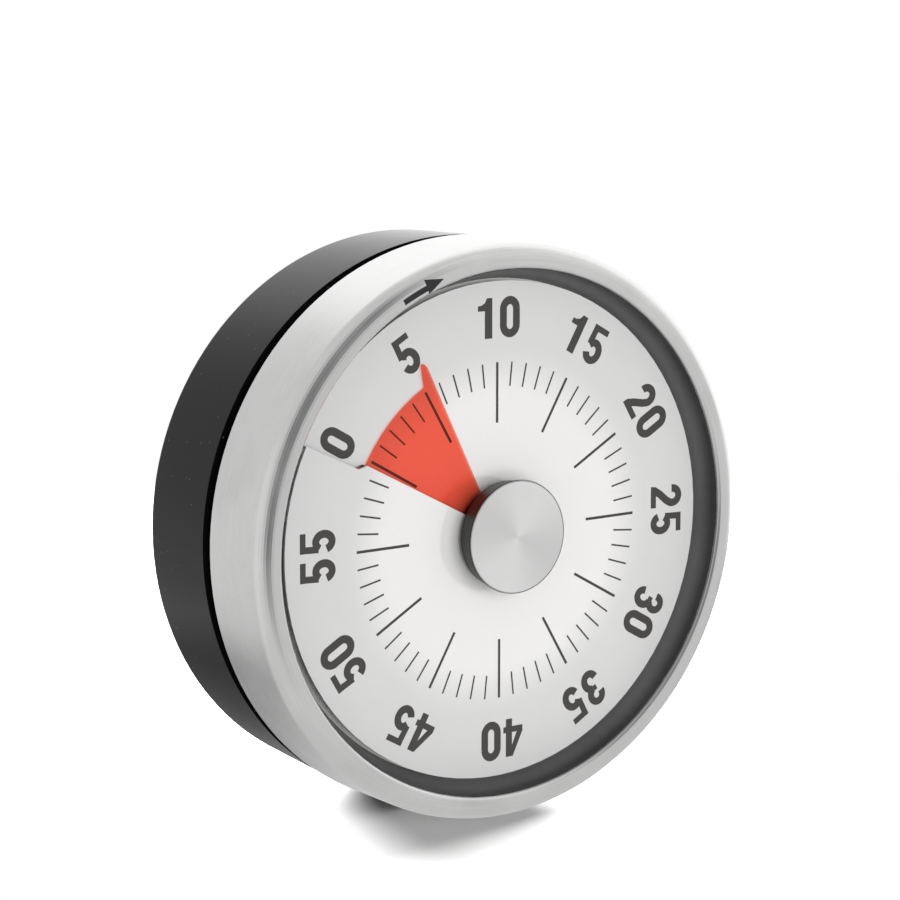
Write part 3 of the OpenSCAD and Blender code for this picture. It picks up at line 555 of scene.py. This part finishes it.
ticks = []
for minute in range(60):
    tick = LONG_TICK if minute % 5 == 0 else SHORT_TICK
    half = tick["width"] / 2
    foot, top = tick["inner"], SCALE_RADIUS
    bar = [(-half, foot), (half, foot), (half, top), (-half, top)]
    ticks.append(turned(bar, minute_angle(minute) - math.pi / 2))
printed("minute_ticks", ticks, dial_height, "dial_print")
print("printed", len(ticks), "ticks")

# %% [markdown]
# The numbers are a narrow, bold face, 5.5 mm high with strokes of about 1.1 mm. A font
# file could be used, but the script reads nothing from disk, and this face is simple
# enough to draw the way its designer did: as strokes round a middle line, mixed with a
# few straight blocks. A stroke is a chain of four-sided links across the line, and the
# line is made of points on parts of an ellipse.

# %% Strokes and arcs
def stroke(points, width):
    """Outlines of a brush stroke of that width along a line of points, with square ends."""
    sides = []
    for i, point in enumerate(points):
        before = Vector(points[max(i - 1, 0)])
        after = Vector(points[min(i + 1, len(points) - 1)])
        along = (after - before).normalized()
        out = Vector((-along.y, along.x)) * width / 2
        sides.append((Vector(point) + out, Vector(point) - out))
    return [[a[0], a[1], b[1], b[0]] for a, b in zip(sides, sides[1:])]


def arc(centre, half_width, half_height, start, stop, steps=26):
    """Points on an ellipse from one angle to another, in degrees."""
    across, up = centre
    turns = [math.radians(start + (stop - start) * i / steps) for i in range(steps + 1)]
    return [(across + half_width * math.cos(a), up + half_height * math.sin(a)) for a in turns]


print("an arc has", len(arc((0, 0), 1, 1, 0, 90)), "points")

# %% [markdown]
# The dial needs only the digits 0 to 5. Each function gives one digit in mm, with its
# foot on the line up = 0 and its left side on x = 0. The numbers in it are read off the
# middle line of the real digit, and the width at the end is the stroke's.

# %% Draw the digits
def zero():
    loop = arc((1.62, 3.85), 1.08, 1.17, 0, 180) + arc((1.62, 1.67), 1.08, 1.17, 180, 360)
    return stroke(loop + loop[:2], 1.12)[:-1]


def one():
    stem = [(1.14, 0), (2.35, 0), (2.35, 5.5), (1.45, 5.5), (1.14, 4.85)]
    flag = [(1.14, 4.85), (0.55, 4.55), (0, 4.5), (0, 3.78), (1.14, 3.78)]
    return [stem, flag]


def two():
    bowl = arc((1.58, 3.88), 1.04, 1.12, 186, -30)
    foot = [(0, 0), (3.12, 0), (3.12, 0.92), (0.1, 0.92)]
    return stroke(bowl + [(2.15, 2.75), (1.15, 1.55), (0.6, 0.62)], 1.1) + [foot]


def three():
    upper = arc((1.5, 3.98), 0.98, 1.04, 188, -82)
    lower = arc((1.5, 1.66), 1.02, 1.18, 84, -172)
    waist = [(0.95, 2.5), (1.6, 2.5), (1.6, 3.3), (0.95, 3.3)]
    return stroke(upper, 1.06) + stroke(lower, 1.08) + [waist]


def four():
    stem = [(1.8, 0), (2.84, 0), (2.84, 5.42), (1.8, 5.42)]
    bar = [(0, 1.12), (3.27, 1.12), (3.27, 1.98), (0, 1.98)]
    slope = [(0, 1.98), (0.98, 1.98), (1.8, 3.85), (1.8, 5.42), (1.66, 5.42)]
    return [stem, bar, slope]


def five():
    bowl = arc((1.54, 1.78), 1.04, 1.26, 148, -160)
    top = [(0.2, 4.6), (2.9, 4.6), (2.9, 5.46), (0.2, 5.46)]
    back_bar = [(0.1, 2.6), (1.0, 2.6), (1.12, 4.65), (0.2, 4.65)]
    return stroke(bowl, 1.08) + [top, back_bar]


DIGITS = {"0": zero, "1": one, "2": two, "3": three, "4": four, "5": five}
print("drew", len(DIGITS), "digits")

# %% [markdown]
# The numbers stand on a circle with their feet towards the knob. They could all be
# centred on their ticks, but on the real dial each is set by eye, a little to the left or
# right, so each digit has its own starting place along the line.

# %% Print the numbers
NUMBER_FOOT = 26.66
DIGIT_STARTS = {
    0: [-1.62], 5: [-1.45], 10: [-3.2, 0.45], 15: [-3.15, 0.62],
    20: [-3.1, 0.66], 25: [-3.3, 0.62], 30: [-3.4, 0.28], 35: [-3.55, 0.22],
    40: [-4.05, -0.3], 45: [-3.65, 0.22], 50: [-3.4, 0.22], 55: [-3.38, 0.55],
}
for minute, starts in DIGIT_STARTS.items():
    angle = minute_angle(minute) - math.pi / 2
    outlines = []
    for digit, start in zip(str(minute), starts):
        for outline in DIGITS[digit]():
            outlines.append(turned([(x + start, up) for x, up in outline], angle, NUMBER_FOOT))
    printed("numeral_%02d" % minute, outlines, dial_height, "dial_print")
print("printed", len(DIGIT_STARTS), "numbers")

# %% [markdown]
# An arrow on the steel shows which way the knob is wound. Its shaft is a stroke that
# bends with the ring. Its head is a triangle so wide that it reaches over both rounded
# edges of the band. One flat triangle would stand off there, so it is cut into slices
# that follow the metal down.

# %% Print the arrow
LIP = {"edge": 36.92, "bend": 0.57}
RIM = {"edge": 37.75, "bend": 2.0}
HEAD = {"foot_minute": 6.36, "length": 0.72, "tip_radius": 37.5, "half_width": 1.05}
HEAD_CUTS = 7
SHAFT = {"radius": 37.36, "foot_minute": 5.34, "step": 0.13, "points": 9, "width": 0.78}
TOO_THIN = 0.001


def ring_height(x, up):
    """Height of the ring's front: flat, rolled over at the mouth, rounded at the rim."""
    radius = math.hypot(x, up)
    height = FRONT_FACE
    for edge, past in ((LIP, LIP["edge"] - radius), (RIM, radius - RIM["edge"])):
        if past > 0:
            height -= edge["bend"] - math.sqrt(edge["bend"] ** 2 - past ** 2)
    return height


def on_ring(radius, minute):
    angle = minute_angle(minute)
    return (radius * math.cos(angle), radius * math.sin(angle))


def head_slice(low, high):
    """The part of the arrow's head between two radii."""
    foot = HEAD["foot_minute"]
    corners = [(low, foot)]
    for radius in (low, high):
        reach = 1 - abs(radius - HEAD["tip_radius"]) / HEAD["half_width"]
        if reach > TOO_THIN:
            corners.append((radius, foot + HEAD["length"] * reach))
    return [on_ring(*corner) for corner in corners + [(high, foot)]]


cuts = [HEAD["tip_radius"] + HEAD["half_width"] * part / HEAD_CUTS
        for part in range(-HEAD_CUTS, HEAD_CUTS + 1)]
head = [head_slice(low, high) for low, high in zip(cuts, cuts[1:])]
shaft_minutes = [SHAFT["foot_minute"] + SHAFT["step"] * i for i in range(SHAFT["points"])]
shaft = [on_ring(SHAFT["radius"], minute) for minute in shaft_minutes]
printed("winding_arrow", stroke(shaft, SHAFT["width"]) + head, ring_height, "ring_print")
print("printed the arrow, its head in", len(head), "slices")

# %% [markdown]
# The camera stands 0.4 m away, off to the left and a little above, with a long lens. Its
# place could be given as x, y and z. It is given in its own directions (right, up, back)
# from a point on the axis, because a camera on its stand is moved that way. The three
# unit vectors of those directions also make its turn in space.

# %% The camera
AZIMUTH = math.radians(-34.53)
ELEVATION = math.radians(9.98)
RIGHT, UP, BACK = 8.779, 7.284, 399.176
LENS_IN_PIXELS = 2757.6
FRAME_IN_PIXELS = 900
right = Vector((math.cos(AZIMUTH), math.sin(AZIMUTH), 0))
level_back = Vector((math.sin(AZIMUTH), -math.cos(AZIMUTH), 0))
back = level_back * math.cos(ELEVATION) + Vector((0, 0, math.sin(ELEVATION)))
upward = back.cross(right)
camera_data = bpy.data.cameras.new("camera")
camera_data.lens = camera_data.sensor_width * LENS_IN_PIXELS / FRAME_IN_PIXELS
camera_data.clip_start = 0.01
camera_data.clip_end = 20
camera = bpy.data.objects.new("camera", camera_data)
bpy.context.scene.collection.objects.link(camera)
back_plane_centre = Vector((0, DEPTH / 2, AXIS_HEIGHT))
camera.location = back_plane_centre + (right * RIGHT + upward * UP + back * BACK) * MM
camera.rotation_mode = "QUATERNION"
camera.rotation_quaternion = Matrix((right, upward, back)).transposed().to_quaternion()
bpy.context.scene.camera = camera
print("camera at", [round(part, 3) for part in camera.location])

# %% [markdown]
# The table is a white sheet that melts into the white background. A large floor would
# show its far edge as a grey line, so this one is a disc that fades away towards its rim.
# It lies mostly behind the timer, because the shadow is meant to fade out just before it.

# %% The table
FLOOR_RADIUS = 0.18
FLOOR_BEHIND = 0.10
FLOOR_CORNERS = 96
floor_centre = level_back * -FLOOR_BEHIND
mesh = bmesh.new()
bmesh.ops.create_circle(mesh, cap_ends=True, cap_tris=True, segments=FLOOR_CORNERS, radius=FLOOR_RADIUS)
bmesh.ops.translate(mesh, verts=mesh.verts[:], vec=floor_centre)
floor_data = bpy.data.meshes.new("table")
mesh.to_mesh(floor_data)
mesh.free()
floor = bpy.data.objects.new("table", floor_data)
bpy.context.scene.collection.objects.link(floor)
print("table of %.0f mm laid" % (2 * FLOOR_RADIUS / MM))

# %% [markdown]
# The sheet's material. Matt white paper would do, but paper as bright as the background
# throws a lot of light up at the case and the steel. Light Path tells the rays apart: the
# camera sees pale paper, which the lamps bring up to white outside the shadow, and light
# that bounces finds a darker one. Metal and glossy plastic mirror an even painted glow
# instead, with a painted shadow that dims it close behind the timer. Towards its rim the
# sheet turns clear.

# %% The white sheet
SHEET_SEEN, SHEET_FELT = (0.72, 0.72, 0.72), (0.25, 0.25, 0.25)
SHADE_CENTRE = (-0.022, 0.044, 0.0)
SHADE_TO, SHADE_PAST = 12 * MM, 50 * MM
SHADE_MIRRORED, SHEET_MIRRORED = 0.25, 0.72
SOLID_TO, CLEAR_FROM = 0.134, 0.158


def white_sheet():
    r = Recipe("white_sheet")
    ray = r.add("ShaderNodeLightPath").outputs
    tone = r.blend(ray["Is Camera Ray"], SHEET_FELT, SHEET_SEEN)
    paper = r.add("ShaderNodeBsdfDiffuse", None, Color=tone, Normal=r.bump(r.noise(900.0), 0.01 * MM))
    # painted shadow: the glow that metal mirrors dims close behind the timer
    from_shade = r.vectors("DISTANCE", r.place, SHADE_CENTRE)
    glow = r.ramp(from_shade, SHADE_TO, SHADE_PAST, SHADE_MIRRORED, SHEET_MIRRORED, True)
    mirrored = r.add("ShaderNodeEmission", None, Color=(1, 1, 1, 1), Strength=glow)
    solid = r.add("ShaderNodeMixShader", None, Fac=ray["Is Glossy Ray"],
                  _1=paper.outputs[0], _2=mirrored.outputs[0])
    clear = r.add("ShaderNodeBsdfTransparent")
    from_centre = r.vectors("DISTANCE", r.place, tuple(floor_centre))
    fade = r.ramp(from_centre, SOLID_TO, CLEAR_FROM, 0.0, 1.0, True)
    whole = r.add("ShaderNodeMixShader", None, Fac=fade, _1=solid.outputs[0], _2=clear.outputs[0])
    return r.done(whole)


floor_data.materials.append(white_sheet())
print("sheet solid to %.0f mm, clear from %.0f mm" % (SOLID_TO / MM, CLEAR_FROM / MM))

# %% [markdown]
# The studio is a white tent. What the camera sees of it is pure white, and the tent lights
# the object evenly. Metal needs more than that: it shows its shape only by what it
# mirrors. So glossy rays find a tent whose cloth is brightest behind the timer and to the
# right, with a bright seam along that side, a paler panel on the left and one high in
# front, and a dark opening in front, for the camera. The opening draws the thin dark line
# along the ring's rounded corner. A painted picture of a studio would do as well; the dot
# product of the ray with a few chosen directions is enough here and needs no file.

# %% The tent
TENT_LIGHT = 0.42
BRIGHT_SIDE = (0.75, 0.6, 0.25)
CLOTH = {"from": 0.42, "to": 0.74, "dim": 0.77, "bright": 1.17}
OPENING = {"way": (-0.21, -0.94, 0.27), "from": 0.67, "to": 0.93, "dark": 0.33}
PALER = {
    "seam": {"way": BRIGHT_SIDE, "from": 0.56, "to": 0.66, "more": 0.15},
    "front panel": {"way": (0.62, -0.6, 0.5), "from": 0.72, "to": 1.0, "more": 0.14},
    "left panel": {"way": (-0.95, 0.25, -0.1), "from": 0.75, "to": 1.0, "more": 0.14},
}
world = bpy.data.worlds.new("tent")
bpy.context.scene.world = world
world.use_nodes = True
tent = Recipe("tent", world.node_tree)
ray_way = tent.add("ShaderNodeTexCoord").outputs["Generated"]


def facing(way):
    """How far a ray into the tent points along a direction, from -1 to 1."""
    return tent.vectors("DOT_PRODUCT", ray_way, tuple(Vector(way).normalized()))


def either(test, if_not, if_so):
    """One of two strengths, by a test that gives 0 or 1."""
    return tent.add("ShaderNodeMix", {"data_type": "FLOAT"}, _0=test, _2=if_not, _3=if_so).outputs[0]


mirrored = tent.ramp(facing(BRIGHT_SIDE), CLOTH["from"], CLOTH["to"], CLOTH["dim"], CLOTH["bright"])
for part in PALER.values():
    more = tent.ramp(facing(part["way"]), part["from"], part["to"], 0.0, part["more"], True)
    mirrored = tent.math("ADD", mirrored, more)
kept = tent.ramp(facing(OPENING["way"]), OPENING["from"], OPENING["to"], 1.0, OPENING["dark"], True)
mirrored = tent.math("MULTIPLY", mirrored, kept)
ray = tent.add("ShaderNodeLightPath").outputs
seen = tent.math("MAXIMUM", ray["Is Camera Ray"], ray["Is Transmission Ray"])
strength = either(seen, either(ray["Is Glossy Ray"], TENT_LIGHT, mirrored), 1.0)
cover = tent.add("ShaderNodeBackground", None, Color=(1, 1, 1, 1), Strength=strength)
tent.add("ShaderNodeOutputWorld", None, Surface=cover.outputs[0])
print("tent up, with", ", ".join(PALER))

# %% [markdown]
# Lamps add to the tent. A small one to the right draws the knob's crisp shadow on the
# dial and the film. A wide one in front evens out the dial. A lamp without size would
# draw razor-sharp shadows, so each is a disc: the larger it is, the softer the edge. Both
# light the matt surfaces only: the metal mirrors the tent, and no lamp burns a spot into
# it.

# %% The lamps in front
DIAL_CENTRE = Vector((0, -0.012, AXIS_HEIGHT))
CRISP_LAMP = {"to_the_right": math.radians(28.7), "distance": 0.9, "size": 0.07, "power": 1.15}
WIDE_LAMP = {"place": Vector((-0.1, -0.95, 0.12)), "size": 0.8, "power": 5.6}


def lamp(name, place, aim, size, power):
    data = bpy.data.lights.new(name, "AREA")
    data.shape = "DISK"
    data.size = size
    data.energy = power
    piece = bpy.data.objects.new(name, data)
    bpy.context.scene.collection.objects.link(piece)
    piece.location = place
    piece.rotation_mode = "QUATERNION"
    piece.rotation_quaternion = (place - aim).to_track_quat("Z", "Y")
    piece.visible_glossy = False
    print(name, "at", [round(part, 2) for part in place])
    return piece


turn = CRISP_LAMP["to_the_right"]
crisp_way = Vector((math.sin(turn), -math.cos(turn), 0))
crisp_place = DIAL_CENTRE + crisp_way * CRISP_LAMP["distance"]
lamp("crisp_lamp", crisp_place, DIAL_CENTRE, CRISP_LAMP["size"], CRISP_LAMP["power"])
lamp("wide_lamp", WIDE_LAMP["place"], DIAL_CENTRE, WIDE_LAMP["size"], WIDE_LAMP["power"])

# %% [markdown]
# Two more lamps stand behind and shine on the table alone (light linking), so they don't
# change the light on the timer. Where either reaches, the sheet is as white as the
# background, and only the place that both miss keeps a soft shadow. One lamp would draw a
# long, hard shadow instead, and how far apart the two stand sets the shadow's width.

# %% The lamps behind
BACK_LAMP = {"rise": math.radians(22), "size": 0.3, "power": 45.0}
BACK_LAMP_TURNS = {"right_back_lamp": 11, "left_back_lamp": 103}
table_only = bpy.data.collections.new("table_only")
table_only.objects.link(floor)
for name, degrees in BACK_LAMP_TURNS.items():
    turn = math.radians(degrees)
    level = Vector((math.cos(turn), math.sin(turn), 0)) * math.cos(BACK_LAMP["rise"])
    place = level + Vector((0, 0, math.sin(BACK_LAMP["rise"])))
    piece = lamp(name, place, Vector((0, 0, 0)), BACK_LAMP["size"], BACK_LAMP["power"])
    piece.light_linking.receiver_collection = table_only
print(len(BACK_LAMP_TURNS), "lamps on the table alone")

# %% [markdown]
# The colours are shown as they are. Blender's usual view bends them like film, which
# suits a sunlit scene, but a white tent would come out grey. Last, the size of the bare
# CAD model as it was loaded is printed: printing and finishing must not make it grow.

# %% Show the colours plainly and print the size at load
bpy.context.scene.view_settings.view_transform = "Standard"
print("size at load", size_at_load)
